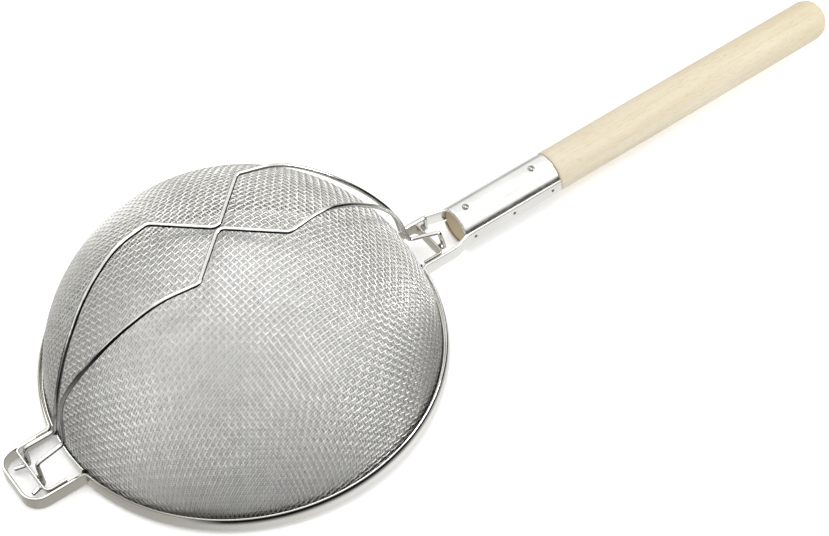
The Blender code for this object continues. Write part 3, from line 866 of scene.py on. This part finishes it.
def dimple(points, nail_x, sign):
    """How far in a shell is pressed round a nail."""
    along = points[..., 0] - nail_x
    across = points[..., 1]
    distance = np.hypot(along, across)
    above = (points[..., 2] - AXIS_Z) * sign > 0
    return np.where(above, DIMPLE_DEPTH * np.exp(-(distance / DIMPLE_SPREAD) ** 2), 0.0)


def make_shell(name, sign, material, node):
    """Half of the ferrule, with a lip turned in at its front end. The sign is 1 for the upper half."""
    bend = SHELL_LIP_BEND
    lip = [(SHELL_RADIUS - bend + bend * math.cos(a), FERRULE_START_X + bend + bend * math.sin(a))
           for a in np.linspace(0, -math.pi / 2, 7)]
    outer = [(SHELL_RADIUS, x) for x in np.arange(FERRULE_END_X - 0.25, FERRULE_START_X + bend, -0.6)]
    outer = [(SHELL_RADIUS - 0.2, FERRULE_END_X)] + outer + lip + [(SHELL_LIP_RADIUS, FERRULE_START_X)]
    inner = [(SHELL_LIP_RADIUS, FERRULE_START_X + SHELL_THICKNESS),
             (SHELL_RADIUS - bend, FERRULE_START_X + SHELL_THICKNESS),
             (SHELL_RADIUS - SHELL_THICKNESS, FERRULE_START_X + bend + 0.3),
             (SHELL_RADIUS - SHELL_THICKNESS, FERRULE_END_X)]
    profile = outer + inner
    edge_angle = math.asin((BAND_HEIGHT / 2 + GAP) / (SHELL_RADIUS - SHELL_THICKNESS))
    turn = math.pi - 2 * edge_angle
    start = (math.pi if sign > 0 else 0.0) - turn / 2
    steps = 72
    rows = lathe(profile, steps, start, turn)
    points = along_handle(rows)
    for x in SHELL_NAIL_X:
        radial = points.copy()
        radial[..., 0] = 0
        radial[..., 2] -= AXIS_Z
        radial /= np.maximum(np.linalg.norm(radial, axis=-1, keepdims=True), 1e-9)
        points = points - radial * dimple(points, x, sign)[..., None]
    columns = steps + 1
    faces = grid_faces(len(profile), columns, wrap_columns=False, wrap_rows=True)
    faces.append(tuple(i * columns for i in range(len(profile))))
    faces.append(tuple(i * columns + steps for i in range(len(profile)))[::-1])
    return make_object(name, points.reshape(-1, 3), faces, material, (node,))


def make_nail(name, seat, direction, head, share, sunk, material, node):
    """A domed head, a little out of true, with a shank behind it."""
    crown = share * head
    profile = [(head * math.sin(a), crown * math.cos(a)) for a in np.linspace(0, math.pi / 2, 9)]
    profile += [(head * 0.96, -0.18), (head * 0.8, -0.3),
                (SHANK_RADIUS, -0.35), (SHANK_RADIUS, -5.5), (0.0, -SHANK_LENGTH)]
    profile[0] = (0.0, crown)
    rows = lathe(profile, 28)
    angle = np.arctan2(rows[..., 1], rows[..., 0])
    uneven = 0.05 * np.sin(3 * angle + 1) * np.hypot(rows[..., 0], rows[..., 1])
    rows[..., 2] += np.where(rows[..., 2] > -0.1, uneven, 0)
    turn = np.array(Vector((0, 0, 1)).rotation_difference(Vector(direction)).to_matrix())
    points = rows.reshape(-1, 3) @ turn.T + np.array(seat) + np.array(direction) * (HEAD_STANDOFF - sunk)
    faces = [face[::-1] for face in grid_faces(len(profile), 28)]
    return make_object(name, points, faces, material, (node,))


def make_nails(material, side_material):
    """Two nails through each shell and three through each arm."""
    for half, sign in (("upper", 1), ("lower", -1)):
        for place, x in zip(("front", "rear"), SHELL_NAIL_X):
            seat = (x, 0.0, AXIS_Z + sign * SHELL_RADIUS)
            share, sunk = (UPPER_CROWN_SHARE, UPPER_SUNK) if sign > 0 else (HEAD_CROWN_SHARE, 0.0)
            make_nail(f"{half}_nail_{place}", seat, (0, 0, sign), SHELL_NAIL_HEAD, share, sunk,
                      material, f"{half}_ferrule_nail_{place}")
    for side, sign in (("left", 1), ("right", -1)):
        for i, x in enumerate(SIDE_NAIL_X):
            seat = (x, sign * (ARM_Y + BAND_THICKNESS / 2), AXIS_Z)
            make_nail(f"arm_nail_{side}_{i + 1}", seat, (0, sign, 0), SIDE_NAIL_HEAD, HEAD_CROWN_SHARE,
                      SIDE_SUNK, side_material, f"side_nail_{side}_{i + 1}")


# ---------------------------------------------------------------- studio

def make_floor():
    """A matt white floor that glows a little and isn't seen in the metal."""
    mesh = bpy.data.meshes.new("floor")
    reach = 6.0
    corners = [(-reach, -reach, 0), (reach, -reach, 0), (reach, reach, 0), (-reach, reach, 0)]
    mesh.from_pydata(corners, [], [(0, 1, 2, 3)])
    floor = bpy.data.objects.new("floor", mesh)
    bpy.context.scene.collection.objects.link(floor)
    material = bpy.data.materials.new("light_table")
    material.use_nodes = True
    shader = material.node_tree.nodes["Principled BSDF"]
    shader.inputs["Base Color"].default_value = (0.9, 0.9, 0.9, 1.0)
    shader.inputs["Roughness"].default_value = 0.9
    shader.inputs["Specular IOR Level"].default_value = 0.0
    shader.inputs["Emission Color"].default_value = WHITE
    shader.inputs["Emission Strength"].default_value = FLOOR_GLOW
    mesh.materials.append(material)
    floor.visible_glossy = False


def make_world():
    """A pale studio, greyer about the horizon, with a dark zone low down on the camera's side."""
    world = bpy.data.worlds.new("studio")
    bpy.context.scene.world = world
    world.use_nodes = True
    tree = world.node_tree
    place = tree.nodes.new("ShaderNodeTexCoord").outputs["Generated"]
    split = tree.nodes.new("ShaderNodeSeparateXYZ")
    tree.links.new(place, split.inputs[0])
    height = tree.nodes.new("ShaderNodeMapRange")
    tree.links.new(split.outputs["Z"], height.inputs["Value"])
    height.inputs["From Min"].default_value = -1.0

    def gradient(stops):
        ramp = tree.nodes.new("ShaderNodeValToRGB")
        tree.links.new(height.outputs["Result"], ramp.inputs["Fac"])
        elements = ramp.color_ramp.elements
        while len(elements) < len(stops):
            elements.new(0.5)
        for element, (share, value) in zip(elements, stops):
            element.position = share
            element.color = (value, value * 0.995, value * 0.975, 1.0)
        return ramp.outputs["Color"]

    way = tree.nodes.new("ShaderNodeVectorMath")
    way.operation = "DOT_PRODUCT"
    tree.links.new(place, way.inputs[0])
    way.inputs[1].default_value = DARK_SIDE_WAY
    share = tree.nodes.new("ShaderNodeMapRange")
    tree.links.new(way.outputs["Value"], share.inputs["Value"])
    share.inputs["From Min"].default_value = DARK_SIDE_EDGE[0]
    share.inputs["From Max"].default_value = DARK_SIDE_EDGE[1]
    mix = tree.nodes.new("ShaderNodeMix")
    mix.data_type = "RGBA"
    tree.links.new(share.outputs["Result"], mix.inputs[0])
    tree.links.new(gradient(PALE_SIDES), mix.inputs[6])
    tree.links.new(gradient(DARK_SIDE), mix.inputs[7])
    tree.links.new(mix.outputs[2], tree.nodes["Background"].inputs["Color"])


def area_light(name, place, target, size, power):
    """A white rectangular light, placed and aimed in the row frame, in metres."""
    light = bpy.data.lights.new(name, "AREA")
    light.shape = "RECTANGLE"
    light.size, light.size_y = size
    light.energy = power
    obj = bpy.data.objects.new(name, light)
    obj.location = place
    obj.rotation_euler = (Vector(target) - Vector(place)).to_track_quat("-Z", "Y").to_euler()
    bpy.context.scene.collection.objects.link(obj)


def make_camera():
    """The view of the strainer from over its right-hand side, hook end nearest."""
    place = Vector(CAMERA_PLACE) * MM
    ahead = Vector(CAMERA_AHEAD)
    right = Vector(CAMERA_RIGHT)
    up = right.cross(ahead)
    pose = Matrix((right, up, -ahead)).transposed().to_4x4()
    pose.translation = place
    camera = bpy.data.cameras.new("camera")
    camera.sensor_width = SENSOR_WIDTH
    camera.lens = CAMERA_LENS
    obj = bpy.data.objects.new("camera", camera)
    obj.matrix_world = REST @ pose
    bpy.context.scene.collection.objects.link(obj)
    bpy.context.scene.camera = obj


def make_studio():
    make_floor()
    make_world()
    area_light("overhead", (0.1, 0.1, 1.5), (0, 0, 0), (1.2, 0.9), 11.0)
    area_light("key", (-0.3, 0.9, 1.1), (0, 0, 0), (0.5, 0.5), 3.0)
    area_light("side", (0.8, -0.6, 0.45), (-0.12, 0, 0.04), (0.6, 0.4), 6.0)
    view = bpy.context.scene.view_settings
    view.view_transform = "Standard"
    view.look = "None"


def main():
    # The strip gets painted shade at the hook end, fading out towards the middle
    strip = polished_steel("polished_strip", (0.92, 0.915, 0.89), 0.09, shade_x=(-100, 20), scratch=0.08)
    pressed = polished_steel("pressed_steel", (0.95, 0.95, 0.94), 0.22)
    hook_bracket = polished_steel("hook_bracket_steel", (0.60, 0.59, 0.55), 0.2)
    arm_bracket = polished_steel("arm_bracket_steel", (0.46, 0.44, 0.38), 0.25)
    # The hem gets painted shade towards the hook end and on its inner wall
    hem = polished_steel("hem_steel", (0.78, 0.77, 0.73), 0.18, shade_tone=(0.66, 0.65, 0.60), shade_x=(-90, 60),
                         shade_radius=HEM_SHADE_RADIUS)
    nail = polished_steel("nail_steel", (0.34, 0.33, 0.31), 0.10)
    side_nail = polished_steel("side_nail_steel", (0.22, 0.20, 0.18), 0.3)
    weld_bead = polished_steel("weld_bead", (0.36, 0.35, 0.31), 0.3)
    # Near-black steel for the tacks: painted shade in the gap where the strip leaves the hem
    gap_shade = polished_steel("gap_shade_tack", (0.05, 0.045, 0.04), 0.45)
    # The guard wires get painted shade and a dark reflection on their sides and undersides
    guard = drawn_wire("guard_wire", (0.90, 0.895, 0.87), 0.12, painted_shade=True)
    coarse = drawn_wire("coarse_wire", (0.85, 0.845, 0.82), 0.34)
    fine_warp = drawn_wire("fine_warp_wire", (0.93, 0.925, 0.90), 0.36)
    # The fine weft is a darker copy of the same wire: painted shade in the cloth
    shaded_fine_weft = drawn_wire("shaded_fine_weft_wire", (0.60, 0.595, 0.57), 0.36)
    make_band(strip)
    make_hem(hem)
    make_bowls(coarse, fine_warp, shaded_fine_weft)
    make_bracket("hook_bracket", HOOK_BRACKET_X, HOOK_HALF_WIDTH, *HOOK_BRACKET_Z, hook_bracket,
                 "front_anchor_bracket")
    make_bracket("arm_bracket", ARM_BRACKET_X, ARM_HALF_WIDTH, *ARM_BRACKET_Z, arm_bracket,
                 "rear_anchor_bracket")
    make_wires(guard)
    make_welds(weld_bead, gap_shade)
    make_handle(beech("beech"))
    make_shell("upper_shell", 1, pressed, "upper_ferrule_shell")
    make_shell("lower_shell", -1, pressed, "lower_ferrule_shell")
    make_nails(nail, side_nail)
    make_camera()
    make_studio()


main()
